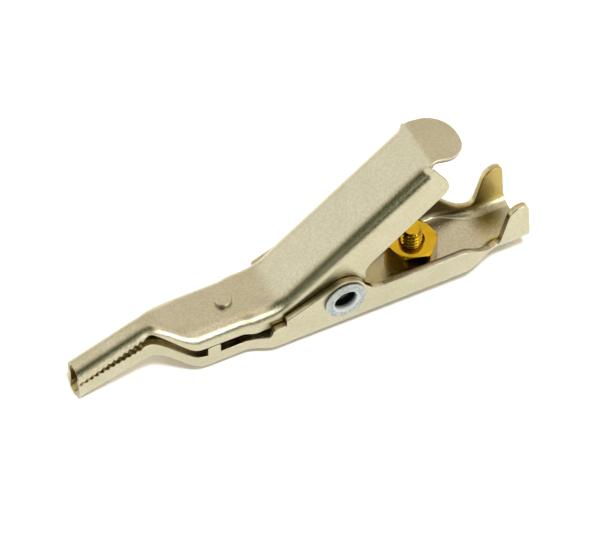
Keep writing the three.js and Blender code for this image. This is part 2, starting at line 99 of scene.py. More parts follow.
# Spacing of mesh points: along an edge, along the clip and through tight bends.
EDGE_STEP = 0.22
GRID_STEP = 0.42
BEND_STEP = 0.16

# Room kept round an edge, and how far down the walls the grid reaches.
EDGE_CLEARANCE = 0.2
WALL_REACH = 9

# Stations along the clip.
NOSE_X = LOWER_LOW.x
TAIL_X = LOWER_HIGH.x
HUMP_X = NOSE_X + 10.0
FRONT_X = NOSE_X + 16.0
WAIST_X = NOSE_X + 22.2
BODY_X = NOSE_X + 26.0
CRIMP_X = TAIL_X - 4.6
BODY_END_X = TAIL_X - 10.2

# Half widths.
NOSE_HALF = 1.85
FRONT_HALF = 4.15
BODY_HALF = LOWER_HIGH.y
CRIMP_HALF = 4.1
LEVER_HALF = UPPER_HIGH.y

# Heights of the outer faces.
NOSE_UNDERSIDE_Z = 0.1
HUMP_UNDERSIDE_Z = 3.1
NOSE_TOP_Z = 5.35
HUMP_TOP_Z = 9.05
PLATE_TOP_Z = 6.75

# Teeth along the nose.
TOOTH_PITCH = 0.75
TOOTH_DEPTH = 0.36
TOOTH_COUNT = 12
BITE_TIP_Z = 3.6
BITE_REAR_Z = 7.75
LOWER_BITE_REAR_Z = 6.3
BITE_GAP = 0.06

# Edge of the lower jaw's walls.
LOWER_EDGE_Z = 2.6
REST_TAB_X = FRONT_X + 0.9
REST_TAB_LENGTH = 1.8
REST_TAB_Z = 4.02
SHOULDER_Z = 4.15
EAR_FRONT_X = -8.2
EAR_FRONT_Z = 5.2
EAR_RADIUS = LOWER_HIGH.z - PIVOT_Z
WALL_Z = 4.75
VALLEY_Z = 2.1
CRIMP_TOP_Z = LOWER_HIGH.z - 0.45

# Lever.
LEVER_SLOPE = math.radians(37.8)
LEVER_BEND_X = -8.75
LEVER_BEND_RADIUS = 5.0
UPPER_BEND = 1.9
LEVER_LENGTH = 26.8
LEVER_DEPTH = 6.1
LEVER_HUB_RADIUS = 2.9
UPPER_EDGE_Z = 4.15
FLANGE_CORNER = 1.8

# Thumb tab.
TAB_HALF = 3.75
TAB_LENGTH = 4.7
TAB_SLOPE = math.radians(-14)
TAB_BEND_RADIUS = 1.8

# Holes.
PIVOT_HOLE_RADIUS = 1.8
SCREW_HOLE_RADIUS = 1.57
PIN_HOLE_RADIUS = 0.82


# ---------- curves and outlines ----------

def ease(x, x0, x1, a, b):
    """Smooth change from a to b while x goes from x0 to x1."""
    t = np.clip((np.asarray(x, float) - x0) / (x1 - x0), 0, 1)
    return a + (b - a) * t * t * (3 - 2 * t)


def soft_min(a, b, radius):
    """The lower of two heights, blended where they cross."""
    t = np.maximum(0, radius - np.abs(a - b)) / radius
    return np.minimum(a, b) - t * t * radius / 4


def rounded(corners, steps=6):
    """Polyline through (x, y, reach) corners, each rounded over its reach."""
    points = np.array([corner[:2] for corner in corners], float)
    line = [points[0]]
    for i in range(1, len(points) - 1):
        reach = corners[i][2]
        if reach == 0:
            line.append(points[i])
            continue
        back = points[i - 1] - points[i]
        ahead = points[i + 1] - points[i]
        start = points[i] + back * min(0.49, reach / np.linalg.norm(back))
        end = points[i] + ahead * min(0.49, reach / np.linalg.norm(ahead))
        for t in np.linspace(0, 1, steps):
            line.append((1 - t) ** 2 * start + 2 * t * (1 - t) * points[i] + t * t * end)
    line.append(points[-1])
    return np.array(line)


def arc(centre, radius, start, end, steps):
    """Sharp corners along an arc, for use between rounded corners."""
    return [
        (centre[0] + radius * math.cos(a), centre[1] + radius * math.sin(a), 0)
        for a in np.linspace(start, end, steps)
    ]


def sampled(line, closed=False):
    """The same polyline with no long stretches and no doubled points."""
    ends = np.roll(line, -1, axis=0) if closed else line[1:]
    out = []
    for a, b in zip(line, ends):
        length = np.linalg.norm(b - a)
        if length < 1e-6:
            continue
        count = max(1, math.ceil(length / EDGE_STEP))
        out.extend(a + (b - a) * i / count for i in range(count))
    if not closed:
        out.append(line[-1])
    return np.array(out)


def circle(centre, radius, steps=64):
    """Closed loop that runs clockwise, as a hole does."""
    angles = -np.linspace(0, 2 * math.pi, steps, endpoint=False)
    return np.stack([centre[0] + radius * np.cos(angles), centre[1] + radius * np.sin(angles)], 1)


def inset(loop):
    """The loop moved inwards by its edge rounding; a clockwise hole grows."""
    distance = ease(loop[:, 0], HUMP_X - 1, HUMP_X, TOOTH_ROUND, EDGE_ROUND)
    before = loop - np.roll(loop, 1, axis=0)
    after = np.roll(loop, -1, axis=0) - loop
    before /= np.linalg.norm(before, axis=1)[:, None]
    after /= np.linalg.norm(after, axis=1)[:, None]
    normals = [np.stack([-d[:, 1], d[:, 0]], 1) for d in (before, after)]
    middle = normals[0] + normals[1]
    middle /= np.maximum(np.linalg.norm(middle, axis=1), 0.3)[:, None]
    stretch = np.clip(np.sum(middle * normals[0], axis=1), 0.6, 1)
    return loop + middle * (distance / stretch)[:, None]


def developed(half, bend, depth):
    """Distance over the outside from the centre line down to a depth on the flange."""
    angle = np.arccos(np.clip(1 - depth / bend, 0, 1))
    return half - bend + bend * angle + np.maximum(0, depth - bend)


def profile(v, half, bend):
    """Across and depth of the outer face at developed distance v."""
    reach = np.abs(v)
    flat = half - bend
    angle = np.clip((reach - flat) / bend, 0, math.pi / 2)
    across = np.sign(v) * (np.minimum(reach, flat) + bend * np.sin(angle))
    straight = np.maximum(0, reach - flat - bend * math.pi / 2)
    return across, bend * (1 - np.cos(angle)) + straight


# ---------- folded sheets ----------

def normals_of(surface, u, v):
    """Unit normals of surface(u, v), from short steps each way."""
    d = 0.02
    along = surface(u + d, v) - surface(u - d, v)
    across = surface(u, v + d) - surface(u, v - d)
    normal = np.cross(along, across)
    return normal / np.linalg.norm(normal, axis=1)[:, None]


def inside(points, loops):
    """True for points within the outer loop and outside the holes."""
    result = np.zeros(len(points), bool)
    for loop in loops:
        for a, b in zip(loop, np.roll(loop, -1, axis=0)):
            spans = (a[1] > points[:, 1]) != (b[1] > points[:, 1])
            rise = b[1] - a[1] if b[1] != a[1] else 1
            cross = a[0] + (points[:, 1] - a[1]) * (b[0] - a[0]) / rise
            result ^= spans & (points[:, 0] < cross)
    return result


def clear_of(points, loops):
    """True for points that keep their distance from every loop's corners."""
    result = np.ones(len(points), bool)
    for corner in np.concatenate(loops):
        result &= np.sum((points - corner) ** 2, axis=1) > EDGE_CLEARANCE ** 2
    return result


def triangulate(loops, grid):
    """Triangles between the loops through the grid points inside them."""
    grid = grid[inside(grid, loops)]
    grid = grid[clear_of(grid, loops)]
    points = np.concatenate(loops + [grid])
    starts = np.cumsum([0] + [len(loop) for loop in loops])
    edges = []
    for start, loop in zip(starts, loops):
        edges += [(start + i, start + (i + 1) % len(loop)) for i in range(len(loop))]
    result = delaunay_2d_cdt([Vector(p) for p in points], edges, [], 4, 1e-6)
    coordinates, _, faces, sources = result[:4]
    place = {source: i for i, group in enumerate(sources) for source in group}
    flat = np.array([tuple(c) for c in coordinates])
    solid = inside(flat[np.array(faces)].mean(axis=1), loops)
    faces = [tuple(face) for face, kept in zip(faces, solid) if kept]
    rims = [
        np.array([place[start + i] for i in range(len(loop))])
        for start, loop in zip(starts, loops)
    ]
    return flat, faces, rims


def edge_rings(place, loop, inner_loop, sheet):
    """Rings round one sheared edge: points, normals, edge mark and inner mark."""
    rings = []
    for degrees, is_inner in EDGE_STEPS:
        turn = math.radians(degrees)
        uv = inner_loop + (loop - inner_loop) * math.sin(turn)
        lip = EDGE_ROUND * (1 - abs(math.cos(turn)))
        depth = sheet - lip if is_inner else lip
        ring, normal = place(uv, depth)
        beyond, _ = place(uv + (loop - inner_loop) * 0.2, depth)
        outward = beyond - ring
        outward /= np.maximum(np.linalg.norm(outward, axis=1), 1e-9)[:, None]
        shade = normal * math.cos(turn) + outward * math.sin(turn)
        rings.append((ring, shade, math.sin(turn), is_inner))
    return rings


def folded_sheet(name, surface, outward, loops, grid, sheet):
    """Watertight mesh of a sheet whose outer face is surface(u, v)."""
    insets = [inset(loop) for loop in loops]
    flat, faces, rims = triangulate(insets, grid)
    count = len(flat)

    def place(uv, depth):
        normal = normals_of(surface, uv[:, 0], uv[:, 1]) * outward
        return surface(uv[:, 0], uv[:, 1]) - normal * depth, normal

    outer, normal = place(flat, 0)
    inner, _ = place(flat, sheet)
    patches = [(outer, normal, 0, 0), (inner, -normal, 0, 1)]
    polygons = faces + [tuple(i + count for i in reversed(face)) for face in faces]
    used = 2 * count
    for rim, loop, inner_loop in zip(rims, loops, insets):
        rings = edge_rings(place, loop, inner_loop, sheet)
        patches += rings
        rows = used + np.arange(len(rings) * len(loop)).reshape(len(rings), len(loop))
        rows = [rim, *rows, rim + count]
        used += len(rings) * len(loop)
        for a, b in zip(rows, rows[1:]):
            polygons += zip(np.roll(a, -1), a, b, np.roll(b, -1))
    points, shades, edge_marks, inner_marks = zip(*patches)
    sizes = [len(patch) for patch in points]
    mesh = mesh_from(name, np.concatenate(points), polygons)
    add_mark(mesh, "edge", np.repeat(edge_marks, sizes))
    add_mark(mesh, "inner", np.repeat(inner_marks, sizes))
    mesh.normals_split_custom_set_from_vertices(np.concatenate(shades).tolist())
    return object_from(name, mesh)


def mesh_from(name, points, polygons):
    """Smooth-shaded mesh from points in millimetres, with all faces outwards."""
    mesh = bpy.data.meshes.new(name)
    faces = [tuple(map(int, polygon)) for polygon in polygons]
    mesh.from_pydata((np.asarray(points) * MM).tolist(), [], faces)
    work = bmesh.new()
    work.from_mesh(mesh)
    bmesh.ops.remove_doubles(work, verts=work.verts, dist=1e-7)
    bmesh.ops.recalc_face_normals(work, faces=work.faces)
    work.to_mesh(mesh)
    work.free()
    mesh.polygons.foreach_set("use_smooth", [True] * len(mesh.polygons))
    return mesh


def add_mark(mesh, name, values):
    """Stores one number per point, for the materials to read."""
    mark = mesh.attributes.new(name, "FLOAT", "POINT")
    mark.data.foreach_set("value", np.asarray(values, np.float32))


def object_from(name, data):
    """New object in the scene from a mesh, a lamp or a camera."""
    obj = bpy.data.objects.new(name, data)
    bpy.context.scene.collection.objects.link(obj)
    return obj


def points_of(obj):
    """An object's mesh points, in millimetres."""
    return np.array([vertex.co for vertex in obj.data.vertices]) / MM


def mirrored_loop(side):
    """Closed anticlockwise loop from the v > 0 side, listed nose to tail."""
    other = side * np.array([1, -1])
    return sampled(np.concatenate([other, side[::-1]]), closed=True)


def pattern_grid(stations, half, bend):
    """Grid points that follow the web, both bends and both flanges."""
    rows = []
    for u in stations:
        flat = float(half(u) - bend(u))
        quarter = float(bend(u)) * math.pi / 2
        web = np.linspace(0, flat, max(2, math.ceil(flat / 0.5) + 1))
        curve = flat + quarter * np.linspace(0, 1, 9)[1:]
        wall = curve[-1] + np.arange(0.4, WALL_REACH, 0.5)
        reach = np.concatenate([web, curve, wall])
        both = np.concatenate([-reach[:0:-1], reach])
        rows.append(np.stack([np.full(len(both), u), both], 1))
    return np.concatenate(rows)


# ---------- lower jaw ----------

def lower_floor(x):
    """Underside height: it climbs along the nose and drops to the floor."""
    climb = (HUMP_UNDERSIDE_Z - NOSE_UNDERSIDE_Z) / (HUMP_X - NOSE_X)
    nose = NOSE_UNDERSIDE_Z + climb * (x - NOSE_X)
    fall = ease(x, HUMP_X + 0.3, FRONT_X + 1.2, HUMP_UNDERSIDE_Z, 0)
    return soft_min(nose, fall, 0.5)


def lower_half(x):
    """Half width: narrow nose, wider body, narrower crimp."""
    front = ease(x, HUMP_X - 0.6, FRONT_X, NOSE_HALF, FRONT_HALF)
    body = front + ease(x, WAIST_X, BODY_X, 0, BODY_HALF - FRONT_HALF)
    return body + ease(x, BODY_END_X, CRIMP_X, 0, CRIMP_HALF - BODY_HALF)


def lower_bend(x):
    """Outer radius of the bend between the floor and a wall."""
    front = ease(x, HUMP_X, FRONT_X, NOSE_HALF - 0.2, 1.2)
    return front + ease(x, BODY_END_X, CRIMP_X, 0, 1.2)


def lower_surface(u, v):
    """Outer face of the lower jaw."""
    across, depth = profile(v, lower_half(u), lower_bend(u))
    return np.stack([u, across, lower_floor(u) + depth], 1)


def teeth(rear_x, rear_z, tip_z, rise):
    """Zigzag corners from the nose tip back to the last tooth."""
    slope = (rear_z - tip_z) / (rear_x - NOSE_X)
    corners = []
    for i in range(TOOTH_COUNT):
        for share, lift in ((0.0, 0.0), (0.5, rise)):
            x = NOSE_X + (i + share) * TOOTH_PITCH
            corners.append((x, tip_z + slope * (x - NOSE_X) + lift, 0.08))
    end = NOSE_X + TOOTH_COUNT * TOOTH_PITCH
    corners.append((end, tip_z + slope * (end - NOSE_X), 0.08))
    return corners


def lower_outline():
    """Edge of a side wall in side view, nose to tail."""
    fall = np.linspace(BODY_END_X - 0.4, CRIMP_X - 1.2, 9)
    wall_end = ease(fall, fall[0], fall[-1], WALL_Z, VALLEY_Z)
    return rounded([
        *teeth(HUMP_X - 0.6, LOWER_BITE_REAR_Z, BITE_TIP_Z - BITE_GAP, -TOOTH_DEPTH),
        (HUMP_X + 0.6, LOWER_BITE_REAR_Z + 0.1, 1.3),
        (FRONT_X - 0.4, LOWER_EDGE_Z + 0.3, 1.3),
        (REST_TAB_X, LOWER_EDGE_Z, 0.15),
        (REST_TAB_X, REST_TAB_Z, 0.25),
        (REST_TAB_X + REST_TAB_LENGTH, REST_TAB_Z, 0.25),
        (REST_TAB_X + REST_TAB_LENGTH, LOWER_EDGE_Z - 0.1, 0.2),
        (WAIST_X, LOWER_EDGE_Z - 0.1, 0.8),
        (EAR_FRONT_X - 2.1, LOWER_EDGE_Z + 0.3, 0.4),
        (EAR_FRONT_X - 1.8, SHOULDER_Z - 0.05, 0.25),
        (EAR_FRONT_X, SHOULDER_Z, 0.12),
        (EAR_FRONT_X, EAR_FRONT_Z, 0.3),
        *arc((0, PIVOT_Z), EAR_RADIUS, 2.1, 0.37, 22),
        (4.4, WALL_Z, 2.0),
        *zip(fall, wall_end, [0] * len(fall)),
        (CRIMP_X + 0.1, VALLEY_Z, 0.9),
        (CRIMP_X + 1.6, CRIMP_TOP_Z - 0.2, 1.5),
        (TAIL_X - 0.5, CRIMP_TOP_Z + 0.05, 1.3),
        (TAIL_X, 1.0, 0.0),
    ])


def lower_jaw():
    """Channel with the screw's hole in its floor and the rivet's in its ears."""
    edge = sampled(lower_outline())
    u = edge[:, 0]
    v = developed(lower_half(u), lower_bend(u), edge[:, 1] - lower_floor(u))
    ear_v = float(developed(BODY_HALF, lower_bend(0), PIVOT_Z - lower_floor(0)))
    loops = [
        mirrored_loop(np.stack([u, v], 1)),
        circle((SCREW_X, 0), SCREW_HOLE_RADIUS),
        circle((0, ear_v), PIVOT_HOLE_RADIUS),
        circle((0, -ear_v), PIVOT_HOLE_RADIUS),
    ]
    stations = np.arange(NOSE_X + 0.2, TAIL_X, GRID_STEP)
    grid = pattern_grid(stations, lower_half, lower_bend)
    return folded_sheet("lower_jaw_sheet", lower_surface, -1, loops, grid, LOWER_SHEET)


# ---------- upper jaw ----------

ARC_START = LEVER_BEND_X - LEVER_BEND_RADIUS * math.tan(LEVER_SLOPE / 2)
ARC_END = ARC_START + LEVER_BEND_RADIUS * LEVER_SLOPE
LEVER_END = ARC_END + LEVER_LENGTH - (LEVER_BEND_X - ARC_START)
TAB_FLAT = LEVER_END + TAB_BEND_RADIUS * (LEVER_SLOPE - TAB_SLOPE)
TAB_END = TAB_FLAT + TAB_LENGTH
SPINE_U = np.linspace(ARC_START, TAB_END + 1, 6001)
SPINE_TILT = np.interp(
    SPINE_U,
    [ARC_START, ARC_END, LEVER_END, TAB_FLAT],
    [0, LEVER_SLOPE, LEVER_SLOPE, TAB_SLOPE],
)
SPINE_STEP = SPINE_U[1] - SPINE_U[0]
SPINE_X = ARC_START + np.concatenate([[0], np.cumsum(np.cos(SPINE_TILT[1:]))]) * SPINE_STEP
SPINE_Z = PLATE_TOP_Z + np.concatenate([[0], np.cumsum(np.sin(SPINE_TILT[1:]))]) * SPINE_STEP


def upper_top(x):
    """Top height of the nose and front plate."""
    climb = (HUMP_TOP_Z - NOSE_TOP_Z) / (HUMP_X - NOSE_X)
    nose = NOSE_TOP_Z + climb * (x - NOSE_X)
    fall = ease(x, HUMP_X + 0.2, FRONT_X, HUMP_TOP_Z, PLATE_TOP_Z)
    return soft_min(nose, fall, 0.6)


def upper_half(u):
    """Half width: narrow nose, front plate, then the lever."""
    front = ease(u, HUMP_X - 0.6, FRONT_X, NOSE_HALF, FRONT_HALF)
    return front + ease(u, WAIST_X - 0.4, WAIST_X + 1.6, 0, LEVER_HALF - FRONT_HALF)


def upper_bend(u):
    """Outer radius of the bend between the top and a flange."""
    front = ease(u, HUMP_X, FRONT_X, NOSE_HALF - 0.15, UPPER_BEND)
    return front - ease(u, LEVER_END - 1.2, LEVER_END + 0.3, 0, 1.2)


def upper_surface(u, v):
    """Outer face of the upper jaw, bent along its spine."""
    across, depth = profile(v, upper_half(u), upper_bend(u))
    on_plate = u < ARC_START
    x = np.where(on_plate, u, np.interp(u, SPINE_U, SPINE_X))
    z = np.where(on_plate, upper_top(u), np.interp(u, SPINE_U, SPINE_Z))
    tilt = np.where(on_plate, 0, np.interp(u, SPINE_U, SPINE_TILT))
    return np.stack([x + depth * np.sin(tilt), across, z - depth * np.cos(tilt)], 1)


def unfold_upper(x, z):
    """Pattern length and depth of a point in side view."""
    from_centre = np.stack([x - ARC_START, PLATE_TOP_Z + LEVER_BEND_RADIUS - z], 1)
    angle = np.arctan2(from_centre[:, 0], from_centre[:, 1])
    along = (x - LEVER_BEND_X) * math.cos(LEVER_SLOPE) + (z - PLATE_TOP_Z) * math.sin(LEVER_SLOPE)
    down = (x - LEVER_BEND_X) * math.sin(LEVER_SLOPE) - (z - PLATE_TOP_Z) * math.cos(LEVER_SLOPE)
    u = np.where(angle < LEVER_SLOPE, ARC_START + LEVER_BEND_RADIUS * angle, lever_u(along))
    depth = np.where(
        angle < LEVER_SLOPE,
        np.linalg.norm(from_centre, axis=1) - LEVER_BEND_RADIUS,
        down,
    )
    on_plate = x < ARC_START
    return np.where(on_plate, x, u), np.where(on_plate, upper_top(x) - z, depth)


def lever_u(along):
    """Pattern length of a point along the lever, measured from its bend."""
    return LEVER_END - LEVER_LENGTH + along


def lever_point(along, down, reach=0.0):
    """Corner in side view from a place on the lever."""
    return (
        LEVER_BEND_X + along * math.cos(LEVER_SLOPE) + down * math.sin(LEVER_SLOPE),
        PLATE_TOP_Z + along * math.sin(LEVER_SLOPE) - down * math.cos(LEVER_SLOPE),
        reach,
    )


def upper_outline():
    """Edge of a flange in side view, nose to lever end."""
    return rounded([
        *teeth(HUMP_X, BITE_REAR_Z, BITE_TIP_Z, TOOTH_DEPTH),
        (HUMP_X - 0.7, BITE_REAR_Z - 0.1, 0.1),
        (HUMP_X + 0.1, BITE_REAR_Z + 0.4, 0.9),
        (HUMP_X + 1.1, BITE_REAR_Z - 0.2, 0.5),
        (FRONT_X - 0.8, UPPER_EDGE_Z + 0.1, 1.3),
        (WAIST_X - 0.4, UPPER_EDGE_Z, 0.5),
        (WAIST_X + 1.0, UPPER_EDGE_Z - 0.5, 0.7),
        *arc((0, PIVOT_Z), LEVER_HUB_RADIUS, math.pi + 0.5, 2 * math.pi - 0.3, 20),
        (3.6, PIVOT_Z + 1.2, 0.6),
        lever_point(10.6, LEVER_DEPTH + 0.15, 1.6),
        lever_point(LEVER_LENGTH - 0.5, LEVER_DEPTH, FLANGE_CORNER),
        lever_point(LEVER_LENGTH - 0.05, 1.6),
    ])


def tab_outline():
    """Flange end and thumb tab in the flat pattern, (u, v) for v > 0."""
    root = float(developed(upper_half(LEVER_END), upper_bend(LEVER_END), 1.0))
    straight = TAB_END - TAB_HALF * 0.98
    turns = np.linspace(0, math.pi / 2, 18)
    corner = rounded([
        (LEVER_END, root, 0),
        (LEVER_END + 0.25, TAB_HALF + 0.05, 0.12),
        (LEVER_END + 1.2, TAB_HALF - 0.05, 0.4),
        (straight, TAB_HALF, 0),
    ])
    end = np.stack([
        straight + (TAB_END - straight) * np.sin(turns),
        TAB_HALF * np.cos(turns) ** 0.85,
    ], 1)
    return np.concatenate([corner, end[1:-1], [[TAB_END, 0.0]]])


def upper_jaw():
    """Nose, front plate, lever and thumb tab, with holes for the pin and the rivet."""
    edge = sampled(upper_outline())
    u, depth = unfold_upper(edge[:, 0], edge[:, 1])
    v = developed(upper_half(u), upper_bend(u), depth)
    side = np.concatenate([np.stack([u, v], 1), tab_outline()])
    hub_u, hub_depth = unfold_upper(*circle((0, PIVOT_Z), PIVOT_HOLE_RADIUS).T)
    hub = np.stack([hub_u, developed(upper_half(hub_u), upper_bend(hub_u), hub_depth)], 1)
    loops = [
        mirrored_loop(side),
        circle((PIN_X, 0), PIN_HOLE_RADIUS),
        hub[::-1],
        hub * np.array([1, -1]),
    ]
    stations = np.concatenate([
        np.arange(NOSE_X + 0.2, LEVER_END - 1, GRID_STEP),
        np.arange(LEVER_END - 1, TAB_FLAT + 0.5, BEND_STEP),
        np.arange(TAB_FLAT + 0.5, TAB_END, GRID_STEP),
    ])
    grid = pattern_grid(stations, upper_half, upper_bend)
    return folded_sheet("upper_jaw_sheet", upper_surface, 1, loops, grid, UPPER_SHEET)


# ---------- turned parts ----------

def turn_angles(steps):
    """Even angles round one turn."""
    return np.linspace(0, 2 * math.pi, steps, endpoint=False)


def ring_at(radius, height, angles):
    """Points round Z; radius and height are single values or one per angle."""
    even = np.ones(len(angles))
    return np.stack([radius * np.cos(angles), radius * np.sin(angles), height * even], 1)


def ring_body(name, rings):
    """Closed body through rings of equal length; a ring of no size closes an end."""
    steps = len(rings[0])
    rows = np.arange(len(rings) * steps).reshape(len(rings), steps)
    polygons = []
    for a, b in zip(rows, rows[1:]):
        polygons += zip(a, np.roll(a, -1), np.roll(b, -1), b)
    return object_from(name, mesh_from(name, np.concatenate(rings), polygons))


def turned(name, outline, steps):
    """Body of revolution about Z from (radius, height) points."""
    angles = turn_angles(steps)
    return ring_body(name, [ring_at(radius, height, angles) for radius, height in outline])


def shade_by_angle(obj, degrees=35):
    """Smooth shading that keeps the crisp corners crisp."""
    bpy.context.view_layer.objects.active = obj
    with bpy.context.temp_override(object=obj, selected_editable_objects=[obj]):
        bpy.ops.object.shade_auto_smooth(angle=math.radians(degrees))


def rivet():
    """Semi-tubular rivet: plain head at the far end, the hollow end rolled over."""
    seat = BODY_HALF + 0.05
    crown = RIVET_HIGH.y
    head_radius = RIVET_HIGH.x
    shank = 1.75
    bore = 1.5
    lip = 0.24
    flare = 0.37
    flare_depth = 0.8
    bore_depth = 1.77
    point_depth = 1.4
    rim = [(shank, seat), (head_radius - lip, seat)]
    rim += [
        (head_radius - lip + lip * math.cos(a), seat + lip + lip * math.sin(a))
        for a in np.linspace(-math.pi / 2, math.pi / 2.4, 9)
    ]
    rim += [(head_radius - 0.55, crown - 0.01), (bore + flare + 0.12, crown)]
    mouth = [
        (bore + flare * (1 - math.sin(a)), crown - flare_depth * (1 - math.cos(a)))
        for a in np.linspace(0.12, math.pi / 2, 12)
    ]
    hollow = [
        (bore, crown - flare_depth - 0.08),
        (bore, crown - bore_depth + 0.05),
        (bore - 0.06, crown - bore_depth - 0.03),
        (0, crown - bore_depth - point_depth),
    ]
    far = [(radius, -height) for radius, height in rim]
    outline = [(0, -crown), *far[::-1], *rim, *mouth, *hollow]
    obj = turned("pivot_rivet_turned", outline, 128)
    points = points_of(obj)
    radius = np.hypot(points[:, 0], points[:, 1])
    near = points[:, 2] > 0
    # Painted shade in the bore: dark from below the flare down, a little less on the bottom.
    wall = [flare_depth - 0.1, flare_depth + 0.08, bore_depth - 0.02, bore_depth + 0.02]
    dark = np.interp(crown - points[:, 2], wall, [0, 1, 1, 0.6])
    add_mark(obj.data, "deep", near * (radius < bore + 0.02) * dark)
    # Painted highlight: the rolled mouth and the head's outer rim are made pale.
    rolled = np.interp(radius - bore, [0, 0.05, 0.25, flare], [0, 0.9, 0.8, 0.1])
    outer_lip = np.interp(head_radius - radius, [0.1, 0.2], [0.45, 0])
    add_mark(obj.data, "edge", np.maximum(near * rolled, outer_lip))
    turn = Matrix.Rotation(math.pi / 2, 4, "X")
    obj.data.transform(Matrix.Translation(Vector((0, 0, PIVOT_Z)) * MM) @ turn)
    return obj


def pin():
    """Stub pin riveted into the front plate, flat on top and pointed below."""
    radius = 1.12
    crown_round = 0.16
    shank = PIN_HOLE_RADIUS - 0.03
    seat = PLATE_TOP_Z + 0.02
    seat_round = 0.06
    collar = PIN_HIGH.x - PIN_X
    collar_top = PLATE_TOP_Z - UPPER_SHEET - 0.02
    collar_low = collar_top - 0.5
    collar_round = 0.08
    top = PIN_HIGH.z
    crown = [
        (radius - crown_round * (1 - math.cos(a)), top - crown_round * (1 - math.sin(a)))
        for a in np.linspace(0, math.pi / 2, 7)
    ]
    obj = turned("contact_pin_turned", [
        (0, PIN_LOW.z),
        (shank * 0.25, PIN_LOW.z + 0.1),
        (shank, PIN_LOW.z + 1.5),
        (shank, collar_low),
        (collar - collar_round, collar_low),
        (collar, collar_low + collar_round),
        (collar, collar_top - collar_round),
        (collar - collar_round, collar_top),
        (shank, collar_top),
        (shank, seat),
        (radius - seat_round, seat),
        (radius, seat + seat_round),
        *crown,
        (0, top),
    ], 96)
    obj.data.transform(Matrix.Translation((PIN_X * MM, 0, 0)))
    return obj


# ---------- screw and nut ----------

THREAD_RADIUS = 1.42
THREAD_PITCH = 0.635
THREAD_DEPTH = 0.36
THREAD_LEAD_IN = 0.45


def thread_radius(angles, z, top):
    """Radii of a single-start thread at one height: rounded roots, flat crests."""
    phase = (z / THREAD_PITCH - angles / (2 * math.pi)) % 1
    ridge = np.clip((1 - np.abs(2 * phase - 1)) * 1.25 - 0.1, 0, 1)
    taper = np.clip((top - z) / THREAD_LEAD_IN, 0, 1)
    crest = THREAD_RADIUS - 0.35 * (1 - taper)
    return np.minimum(crest, THREAD_RADIUS - THREAD_DEPTH * (1 - ridge))


def screw():
    """Machine screw with a slotted pan head under the floor."""
    top = SCREW_HIGH.z
    head_low = SCREW_LOW.z
    head_radius = SCREW_HIGH.x - SCREW_X
    seat = -0.02
    rim_round = 0.08
    slot_width = 0.8
    slot_depth = 0.75
    angles = turn_angles(96)
    dome = [
        (head_radius * math.sin(a), seat - (seat - head_low) * (0.35 + 0.65 * math.cos(a) ** 0.8))
        for a in np.linspace(0.02, math.pi / 2, 12)
    ]
    rim = [(head_radius, seat - rim_round), (head_radius - rim_round, seat)]
    heights = np.arange(seat, top, THREAD_PITCH / 14)
    end = thread_radius(angles, heights[-1], top)
    rings = [ring_at(radius, z, angles) for radius, z in [(0, head_low), *dome, *rim]]
    rings += [ring_at(thread_radius(angles, z, top), z, angles) for z in heights]
    rings += [ring_at(end * share, top, angles) for share in (0.9, 0.5, 0.0)]
    obj = ring_body("terminal_screw_threaded", rings)
    slot = cutter("slot", head_radius * 3, slot_width, slot_depth * 2)
    slot.data.transform(Matrix.Translation((0, 0, head_low * MM)))
    cut(obj, slot)
    points = points_of(obj)
    # Painted shade in the thread roots: darker the further below the crest.
    below_crest = (THREAD_RADIUS - np.hypot(points[:, 0], points[:, 1])) / THREAD_DEPTH
    in_thread = points[:, 2] < top - 0.05
    add_mark(obj.data, "root", np.clip(below_crest * 1.4 - 0.3, 0, 1) * in_thread)
    obj.data.transform(Matrix.Translation((SCREW_X * MM, 0, 0)))
    return obj


def cutter(name, length, width, height):
    """Bar along X, centred on the origin, for cutting."""
    mesh = bpy.data.meshes.new(name)
    work = bmesh.new()
    bmesh.ops.create_cube(work, size=MM)
    bmesh.ops.scale(work, vec=(length, width, height), verts=work.verts)
    work.to_mesh(mesh)
    work.free()
    return object_from(name, mesh)


def cut(obj, tool):
    """Takes tool out of obj and removes tool."""
    modifier = obj.modifiers.new("cut", "BOOLEAN")
    modifier.operation = "DIFFERENCE"
    modifier.solver = "EXACT"
    modifier.object = tool
    apply_modifiers(obj)
    bpy.data.objects.remove(tool)


def apply_modifiers(obj):
    """Keeps the mesh that the modifiers make."""
    graph = bpy.context.evaluated_depsgraph_get()
    mesh = bpy.data.meshes.new_from_object(obj.evaluated_get(graph))
    obj.modifiers.clear()
    obj.data = mesh


